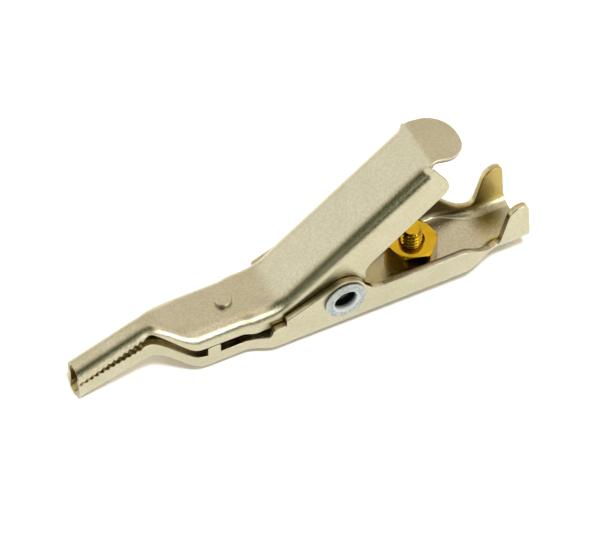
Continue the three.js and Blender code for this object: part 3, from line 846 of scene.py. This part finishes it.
def nut():
    """Chamfered hex nut with a countersunk bore."""
    base, top = NUT_LOW.z, NUT_HIGH.z
    flats = 6.35
    face = flats * 0.492
    bore = THREAD_RADIUS + 0.05
    sink = 0.3
    slope = math.tan(math.radians(30))
    turn = math.radians(46.6)
    half_side = math.pi / 6
    angles = turn + turn_angles(72)
    around = (angles - turn) % (2 * half_side) - half_side
    side = flats / 2 / np.cos(around) * (1 - 0.03 * (np.abs(around) / half_side) ** 12)
    capped = np.minimum(side, face)
    chamfer = np.maximum(0, side - face) * slope
    levels = [(bore, base + sink), (bore + sink, base), (face * 0.8, base), (capped, base)]
    levels.append((side, base + chamfer * 0.35))
    for share in np.linspace(0.1, 0.9, 5):
        levels.append((side, base + chamfer + (top - base - 2 * chamfer) * share))
    levels.append((side, top - chamfer))
    for share in np.linspace(0.75, 0, 4):
        radius = capped + (side - capped) * share
        levels.append((radius, top - np.maximum(0, radius - face) * slope))
    levels += [(bore + 0.75, top), (bore + 0.28, top - 0.02), (bore, top - sink - 0.02)]
    for share in (0.66, 0.33):
        levels.append((bore, base + sink + (top - base - 2 * sink - 0.02) * share))
    levels.append(levels[0])
    obj = ring_body("terminal_nut_hex", [ring_at(*level, angles) for level in levels])
    bevel = obj.modifiers.new("soften", "BEVEL")
    bevel.width = 0.09 * MM
    bevel.segments = 3
    bevel.limit_method = "ANGLE"
    bevel.angle_limit = math.radians(22)
    apply_modifiers(obj)
    obj.data.transform(Matrix.Translation((SCREW_X * MM, 0, 0)))
    return obj


# ---------- torsion spring ----------

WIRE_RADIUS = 0.4
WIRE_END = 0.1
COIL_RADIUS = 2.35
COIL_LAPS = 4
LOWER_LEG = 4.6
UPPER_LEG = 7.5


def leg_angle(reach, length):
    """Angle between a leg and the face its tip presses on."""
    return math.asin(reach / math.hypot(COIL_RADIUS, length)) - math.atan2(COIL_RADIUS, length)


def spring_path():
    """Centre line of the wire: lower leg, coil, upper leg."""
    clearance = WIRE_RADIUS + 0.04
    back, down = -LEVER_BEND_X, PIVOT_Z - PLATE_TOP_Z
    depth = back * math.sin(LEVER_SLOPE) - down * math.cos(LEVER_SLOPE)
    lower = -leg_angle(PIVOT_Z - LOWER_SHEET - clearance, LOWER_LEG)
    upper = LEVER_SLOPE + leg_angle(depth - UPPER_SHEET - clearance, UPPER_LEG)
    first = lower - math.pi / 2
    last = upper + math.pi / 2 - 2 * math.pi * COIL_LAPS
    width = SPRING_HIGH.y - SPRING_LOW.y - 2 * WIRE_RADIUS

    def at(angle, along, y):
        return (
            COIL_RADIUS * math.cos(angle) - along * math.sin(angle),
            y,
            PIVOT_Z + COIL_RADIUS * math.sin(angle) + along * math.cos(angle),
        )

    points = [at(first, d, -width / 2) for d in np.linspace(LOWER_LEG, 0.3, 12)]
    points += [
        at(first + (last - first) * t, 0, width * (t - 0.5))
        for t in np.linspace(0, 1, COIL_LAPS * 48)
    ]
    points += [at(last, -d, width / 2) for d in np.linspace(0.3, UPPER_LEG, 16)]
    return np.array(points), width


def spring():
    """Wire swept along its path, with rounded ends."""
    path, width = spring_path()
    tangents = np.gradient(path, axis=0)
    tangents /= np.linalg.norm(tangents, axis=1)[:, None]
    side = np.cross(tangents[0], (0.0, 1.0, 0.0))
    axes = []
    for tangent in tangents:
        side = side - tangent * np.dot(side, tangent)
        side /= np.linalg.norm(side)
        axes.append((side, np.cross(tangent, side)))
    start = path[0] + tangents[0] * WIRE_END
    tip = path[-1] + tangents[-1] * WIRE_END
    rings = [wire_ring(path[0], axes[0], share) for share in (0.0, 0.75)]
    rings += [wire_ring(point, pair, 1.0) for point, pair in zip([start, *path[1:]], axes)]
    rings += [wire_ring(tip, axes[-1], share) for share in (0.75, 0.0)]
    return ring_body("torsion_spring_wire", rings), width


def wire_ring(centre, pair, share):
    """Circle round a point between two axes, at a share of the wire's radius."""
    side, up = pair
    angles = turn_angles(24)[:, None]
    return centre + WIRE_RADIUS * share * (side * np.cos(angles) + up * np.sin(angles))


# ---------- materials ----------

class Shader:
    """Small helper for building a node material."""

    def __init__(self, name):
        self.material = bpy.data.materials.new(name)
        self.material.use_nodes = True
        self.tree = self.material.node_tree
        self.surface = self.tree.nodes["Principled BSDF"]
        self.place = self.add("ShaderNodeTexCoord").outputs["Object"]

    def add(self, kind, **settings):
        """New node; each setting is an input's value or a property."""
        node = self.tree.nodes.new(kind)
        for key, value in settings.items():
            if key in node.inputs:
                node.inputs[key].default_value = value
            else:
                setattr(node, key, value)
        return node

    def link(self, source, target):
        self.tree.links.new(source, target)

    def noise(self, scale, detail=3.0, roughness=0.5, stretch=None):
        """Cloudy pattern; stretch scales it along X, Y and Z."""
        node = self.add("ShaderNodeTexNoise", Scale=scale, Detail=detail, Roughness=roughness)
        place = self.place
        if stretch:
            mapping = self.add("ShaderNodeMapping", Scale=stretch)
            self.link(place, mapping.inputs["Vector"])
            place = mapping.outputs["Vector"]
        self.link(place, node.inputs["Vector"])
        return node.outputs["Fac"]

    def cells(self, scale):
        """Distance to the nearest of many scattered points."""
        node = self.add("ShaderNodeTexVoronoi", Scale=scale)
        self.link(self.place, node.inputs["Vector"])
        return node.outputs["Distance"]

    def axis(self, name):
        """Place along one axis, in metres."""
        node = self.add("ShaderNodeSeparateXYZ")
        self.link(self.place, node.inputs[0])
        return node.outputs[name]

    def distance(self, centre):
        """Distance from a place, in metres."""
        node = self.add("ShaderNodeVectorMath", operation="DISTANCE")
        self.link(self.place, node.inputs[0])
        node.inputs[1].default_value = centre
        return node.outputs["Value"]

    def mark(self, name):
        """Numbers stored on the mesh by add_mark."""
        return self.add("ShaderNodeAttribute", attribute_name=name).outputs["Fac"]

    def ramp(self, value, low, high, a=0.0, b=1.0):
        """Changes from a to b while value goes from low to high."""
        node = self.add("ShaderNodeMapRange", clamp=True)
        for key, number in zip(("From Min", "From Max", "To Min", "To Max"), (low, high, a, b)):
            node.inputs[key].default_value = number
        self.link(value, node.inputs["Value"])
        return node.outputs["Result"]

    def times(self, a, b):
        return self.math("MULTIPLY", a, b)

    def math(self, operation, a, b):
        """Arithmetic on two outputs or numbers."""
        node = self.add("ShaderNodeMath", operation=operation)
        for socket, value in zip(node.inputs, (a, b)):
            if isinstance(value, (int, float)):
                socket.default_value = value
            else:
                self.link(value, socket)
        return node.outputs["Value"]

    def mix(self, factor, a, b):
        """Colour a where factor is 0 and colour b where it is 1."""
        node = self.add("ShaderNodeMix", data_type="RGBA")
        self.link(factor, node.inputs["Factor"])
        for socket, value in ((node.inputs[6], a), (node.inputs[7], b)):
            if isinstance(value, tuple):
                socket.default_value = (*value, 1.0)
            else:
                self.link(value, socket)
        return node.outputs[2]

    def bump(self, height, strength, distance, below=None):
        """Relief from a height, laid over the relief below."""
        node = self.add("ShaderNodeBump", Strength=strength, Distance=distance)
        self.link(height, node.inputs["Height"])
        if below is not None:
            self.link(below, node.inputs["Normal"])
        return node.outputs["Normal"]

    def clear_from_behind(self):
        """Makes the back of the surface transparent."""
        mix = self.add("ShaderNodeMixShader")
        self.link(self.add("ShaderNodeNewGeometry").outputs["Backfacing"], mix.inputs[0])
        self.link(self.surface.outputs["BSDF"], mix.inputs[1])
        self.link(self.add("ShaderNodeBsdfTransparent").outputs["BSDF"], mix.inputs[2])
        self.link(mix.outputs["Shader"], self.tree.nodes["Material Output"].inputs["Surface"])

    def finish(self, colour, roughness, normal, metallic=1.0):
        """Joins the pattern to the surface and gives back the material."""
        self.surface.inputs["Metallic"].default_value = metallic
        self.link(colour, self.surface.inputs["Base Color"])
        self.link(roughness, self.surface.inputs["Roughness"])
        self.link(normal, self.surface.inputs["Normal"])
        return self.material


def nickel():
    """Dull nickel plate: mottled warm grey, fine orange peel, pits, worn edges, painted shade and
    reflections inside.
    """
    s = Shader("nickel_plate")
    patches = s.ramp(s.noise(220, 4), 0.35, 0.65)
    grain = s.ramp(s.noise(3000, 4, 0.7), 0.42, 0.6)
    rare = s.ramp(s.noise(300, 1), 0.66, 0.70)
    pits = s.times(s.ramp(s.cells(420), 0.03, 0.07, 1, 0), rare)
    worn = s.times(s.mark("edge"), s.ramp(s.noise(900, 3), 0.35, 0.6))
    colour = s.mix(patches, (0.525, 0.495, 0.375), (0.48, 0.45, 0.32))
    colour = s.mix(s.times(grain, 0.42), colour, (0.37, 0.34, 0.235))
    colour = s.mix(pits, colour, (0.24, 0.21, 0.15))
    colour = s.mix(s.times(worn, 0.5), colour, (0.70, 0.63, 0.48))
    colour = painted_inside_shade_and_reflections(s, colour)
    mottle = s.ramp(s.noise(1400, 3, 0.6), 0.3, 0.7, 0.15, 0.23)
    roughness = s.math("ADD", mottle, s.times(pits, 0.3))
    peel = s.bump(s.noise(5200, 3, 0.7), 0.85, 0.000036)
    drawn = s.bump(s.noise(500, 2, 0.5, (0.15, 1, 1)), 0.1, 0.0001, peel)
    normal = s.bump(s.math("SUBTRACT", 1.0, pits), 0.5, 0.00006, drawn)
    return s.finish(colour, roughness, normal)


def painted_inside_shade_and_reflections(s, colour):
    """Painted shade and painted reflections on the sheets' inside faces, laid over the plate's
    colour.
    """
    x = s.axis("X")
    inner = s.mark("inner")

    # Painted shade: brown chamber ahead of the pivot. Painted reflection: golden nose.
    throat = (-0.0235, -0.0195)
    chamber = s.times(s.ramp(x, *throat), s.ramp(x, -0.003, 0.004, 1, 0))
    colour = s.mix(s.times(inner, s.times(chamber, 0.88)), colour, (0.07, 0.045, 0.03))
    nose = s.times(inner, s.ramp(x, *throat, 0.6, 0))
    colour = s.mix(nose, colour, (0.34, 0.24, 0.09))

    # Walls behind the pivot: painted shade in brown, then a painted golden reflection at the
    # crimp.
    raised = s.times(inner, s.ramp(s.axis("Z"), 0.0012, 0.0020, 0, 0.95))
    aft = s.times(raised, s.ramp(x, 0.004, 0.009))
    walls = s.mix(s.ramp(x, 0.018, 0.0235), (0.045, 0.02, 0.004), (0.42, 0.32, 0.10))
    colour = s.mix(aft, colour, walls)

    # Painted reflections: golden floor up to the nut, dark patch on the tail's floor.
    beside_nut = s.times(inner, s.ramp(x, 0.006, 0.012, 0.55, 0))
    colour = s.mix(beside_nut, colour, (0.36, 0.29, 0.09))
    painted_dark_reflection_mask = s.ramp(s.distance((0.0245, 0.0016, 0.0009)), 0.0006, 0.0034, 0.8, 0)
    ragged = s.ramp(s.noise(1500, 3), 0.25, 0.55, 0.6, 1)
    return s.mix(s.times(s.times(inner, painted_dark_reflection_mask), ragged), colour, (0.09, 0.085, 0.025))


def zinc():
    """Bluish zinc plate: pale and dark grain, painted highlight on the rolled edges, painted
    shade in the bore.
    """
    s = Shader("zinc_rivet")
    grain = s.ramp(s.noise(3200, 4, 0.65), 0.35, 0.65)
    colour = s.mix(grain, (0.16, 0.185, 0.19), (0.56, 0.61, 0.63))
    worn = s.ramp(s.noise(700, 2), 0.45, 0.7)
    colour = s.mix(s.times(worn, 0.4), colour, (0.24, 0.27, 0.29))
    # Painted highlight on the rivet's rolled edges.
    colour = s.mix(s.mark("edge"), colour, (0.86, 0.90, 0.92))
    # Painted shade in the rivet's bore.
    colour = s.mix(s.mark("deep"), colour, (0.02, 0.022, 0.015))
    roughness = s.ramp(s.noise(2000, 3), 0.3, 0.7, 0.26, 0.42)
    normal = s.bump(s.noise(4200, 4, 0.7), 1.0, 0.00014)
    return s.finish(colour, roughness, normal)


def spring_steel():
    """Grey spring steel with a slight mottle."""
    s = Shader("spring_steel")
    colour = s.mix(s.ramp(s.noise(900, 3), 0.3, 0.7), (0.42, 0.41, 0.39), (0.56, 0.55, 0.52))
    roughness = s.ramp(s.noise(1500, 3), 0.3, 0.7, 0.25, 0.42)
    normal = s.bump(s.noise(5000, 3), 0.25, 0.00003)
    return s.finish(colour, roughness, normal)


def brass():
    """Bright turned brass with slight tarnish, tool marks and painted shade in the thread roots.
    """
    s = Shader("brass")
    tarnish = s.ramp(s.noise(600, 3, 0.5), 0.4, 0.8)
    colour = s.mix(tarnish, (0.60, 0.385, 0.02), (0.50, 0.285, 0.014))
    # Painted shade in the thread roots.
    colour = s.mix(s.mark("root"), colour, (0.10, 0.045, 0.01))
    roughness = s.ramp(s.noise(1600, 3), 0.3, 0.7, 0.12, 0.2)
    turned_marks = s.bump(s.noise(5200, 2, 0.5, (1, 1, 3)), 0.06, 0.00003)
    return s.finish(colour, roughness, turned_marks)


def paint(obj, material):
    """Gives the object this one material."""
    obj.data.materials.clear()
    obj.data.materials.append(material)


# ---------- stage, light and camera ----------

AZIMUTH = math.radians(-26.4)
ELEVATION = math.radians(51.8)
DISTANCE = 500
SHIFT_RIGHT = 3.32
SHIFT_UP = 1.41
LENS = 234

# Patches of the room, each painted over the ones before: direction, full out to
# and gone by (degrees), colour.
ROOM_PAINT = [
    # Pale walls, brighter behind and overhead.
    ((0.35, 0.75, 0.55), 179, 180, (1.06, 0.97, 0.84)),
    ((-0.69, 0.55, 0.46), 16, 36, (1.33, 1.32, 1.27)),
    ((0.28, -0.25, 0.93), 12, 32, (1.45, 1.28, 1.12)),
    # Window on the near side.
    ((0.27, -0.90, 0.34), 10, 23, (5.4, 5.5, 5.6)),
    # Dark patches.
    ((-0.32, -0.40, 0.86), 15, 29, (0.12, 0.15, 0.08)),
    ((-0.70, -0.50, 0.50), 9, 20, (0.05, 0.06, 0.02)),
    ((-0.52, -0.82, 0.22), 15, 27, (0.12, 0.14, 0.07)),
    ((0.25, -0.97, -0.03), 7, 13, (0.15, 0.15, 0.10)),
]

# What dull surfaces see in place of the room.
ROOM_FILL = (0.80, 0.68, 0.47)

# What the camera sees past the floor's edge.
BACKDROP = (1.0, 1.0, 1.0)


def view_axes():
    """Unit vectors back to the camera, right and up in the picture."""
    back = Vector((
        math.sin(AZIMUTH) * math.cos(ELEVATION),
        -math.cos(AZIMUTH) * math.cos(ELEVATION),
        math.sin(ELEVATION),
    ))
    right = Vector((math.cos(AZIMUTH), math.sin(AZIMUTH), 0))
    return back, right, back.cross(right)


def camera():
    """Long lens that sees the clip from above its near side."""
    back, right, up = view_axes()
    data = bpy.data.cameras.new("camera")
    data.lens = LENS
    data.sensor_width = 36
    data.clip_start = 0.05
    obj = object_from("camera", data)
    place = Vector((0, 0, PIVOT_Z)) + back * DISTANCE - right * SHIFT_RIGHT - up * SHIFT_UP
    turn = Matrix((right, up, back)).transposed().to_4x4()
    obj.matrix_world = Matrix.Translation(place * MM) @ turn
    bpy.context.scene.camera = obj


def floor():
    """Pale board that the nose tip and the screw head rest on."""
    run = SCREW_X - NOSE_X
    tilt = math.atan2(NOSE_UNDERSIDE_Z - SCREW_LOW.z, run)
    mesh = bpy.data.meshes.new("floor")
    size = 3000
    corners = [(-size, -size, 0), (size, -size, 0), (size, size, 0), (-size, size, 0)]
    mesh.from_pydata([Vector(c) * MM for c in corners], [], [(0, 1, 2, 3)])
    obj = object_from("floor", mesh)
    obj.matrix_world = (
        Matrix.Translation(Vector((SCREW_X, 0, SCREW_LOW.z - 0.02)) * MM)
        @ Matrix.Rotation(tilt, 4, "Y")
    )
    s = Shader("floor_board")
    colour = s.mix(s.ramp(s.noise(12, 2), 0.3, 0.7), (0.93, 0.93, 0.925), (0.95, 0.95, 0.945))
    roughness = s.ramp(s.noise(60, 2), 0.3, 0.7, 0.6, 0.7)
    normal = s.bump(s.noise(800, 2), 0.02, 0.0001)
    paint(obj, s.finish(colour, roughness, normal, metallic=0.0))
    s.clear_from_behind()


def overhead_lamp():
    """Soft cool lamp overhead that shiny surfaces don't reflect."""
    data = bpy.data.lights.new("overhead", "SUN")
    data.energy = 3.0
    data.angle = math.radians(12)
    data.color = (0.88, 0.95, 1.0)
    obj = object_from("overhead", data)
    obj.rotation_mode = "QUATERNION"
    obj.rotation_quaternion = Vector((-0.04, -0.36, 0.93)).to_track_quat("Z", "Y")
    obj.visible_glossy = False


def dark_card():
    """Black card in front of the clip, seen only in the metal."""
    y = -46
    base = SCREW_LOW.z
    corners = [(-26, y, base), (30, y, base), (30, y, 34), (2, y, 22), (-26, y, 9)]
    mesh = bpy.data.meshes.new("dark_card")
    mesh.from_pydata([Vector(c) * MM for c in corners], [], [range(len(corners))])
    obj = object_from("dark_card", mesh)
    obj.visible_camera = False
    obj.visible_diffuse = False
    obj.visible_shadow = False
    s = Shader("black_card")
    colour = s.mix(s.ramp(s.noise(200), 0.3, 0.7), (0.085, 0.09, 0.05), (0.10, 0.105, 0.06))
    roughness = s.ramp(s.noise(90), 0.3, 0.7, 0.9, 1.0)
    normal = s.bump(s.noise(900), 0.1, 0.0001)
    paint(obj, s.finish(colour, roughness, normal, metallic=0.0))


def room():
    """Pale room with a bright window on its near side and dark patches round it."""
    world = bpy.data.worlds.new("room")
    bpy.context.scene.world = world
    world.use_nodes = True
    tree = world.node_tree

    def add(kind, **settings):
        node = tree.nodes.new(kind)
        for key, value in settings.items():
            setattr(node, key, value)
        return node

    def link(source, target):
        tree.links.new(source, target)

    place = add("ShaderNodeTexCoord").outputs["Generated"]

    def share(direction, inner, outer):
        """1 around a direction, fading to 0 between two angles."""
        dot = add("ShaderNodeVectorMath", operation="DOT_PRODUCT")
        dot.inputs[1].default_value = Vector(direction).normalized()
        link(place, dot.inputs[0])
        fade = add("ShaderNodeMapRange", interpolation_type="SMOOTHSTEP")
        fade.inputs["From Min"].default_value = math.cos(math.radians(outer))
        fade.inputs["From Max"].default_value = math.cos(math.radians(inner))
        link(dot.outputs["Value"], fade.inputs["Value"])
        return fade.outputs["Result"]

    def painted(below, cover, colour):
        """The colour below with another over it where cover is 1."""
        mix = add("ShaderNodeMix", data_type="RGBA")
        link(cover, mix.inputs["Factor"])
        if below is not None:
            link(below, mix.inputs[6])
        mix.inputs[7].default_value = (*colour, 1.0)
        return mix.outputs[2]

    total = None
    for direction, inner, outer, colour in ROOM_PAINT:
        total = painted(total, share(direction, inner, outer), colour)
    rays = add("ShaderNodeLightPath").outputs
    total = painted(total, rays["Is Diffuse Ray"], ROOM_FILL)
    total = painted(total, rays["Is Camera Ray"], BACKDROP)
    link(total, tree.nodes["Background"].inputs["Color"])


# ---------- assembly ----------

def build():
    """Makes every piece, hands each but the spring to its body and hides the CAD part it stands
    for.
    """
    nickel_plate = nickel()
    brass_finish = brass()
    lower = lower_jaw()
    upper = upper_jaw()
    turned_rivet = rivet()
    turned_pin = pin()
    machine_screw = screw()
    hex_nut = nut()
    wire, width = spring()
    rows = [
        (lower, "lower_jaw", "lower_body", nickel_plate, "nickel_plate"),
        (upper, "upper_jaw", "upper_body", nickel_plate, "nickel_plate"),
        (turned_rivet, "pivot_rivet", "lower_body", zinc(), "zinc_rivet"),
        (turned_pin, "contact_pin", "upper_body", nickel_plate, "nickel_plate"),
        (machine_screw, "terminal_screw", "screw_body", brass_finish, "brass"),
        (hex_nut, "terminal_nut", "nut_body", brass_finish, "brass"),
    ]
    for obj, node, body, material, slot in rows:
        paint(obj, material)
        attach(obj, body)
        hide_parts(node)
    for obj in (turned_rivet, turned_pin, machine_screw, hex_nut):
        shade_by_angle(obj)
    paint(wire, spring_steel())
    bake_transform(wire)
    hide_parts("torsion_spring")


build()
floor()
room()
overhead_lamp()
dark_card()
camera()
bpy.context.scene.view_settings.view_transform = "Standard"
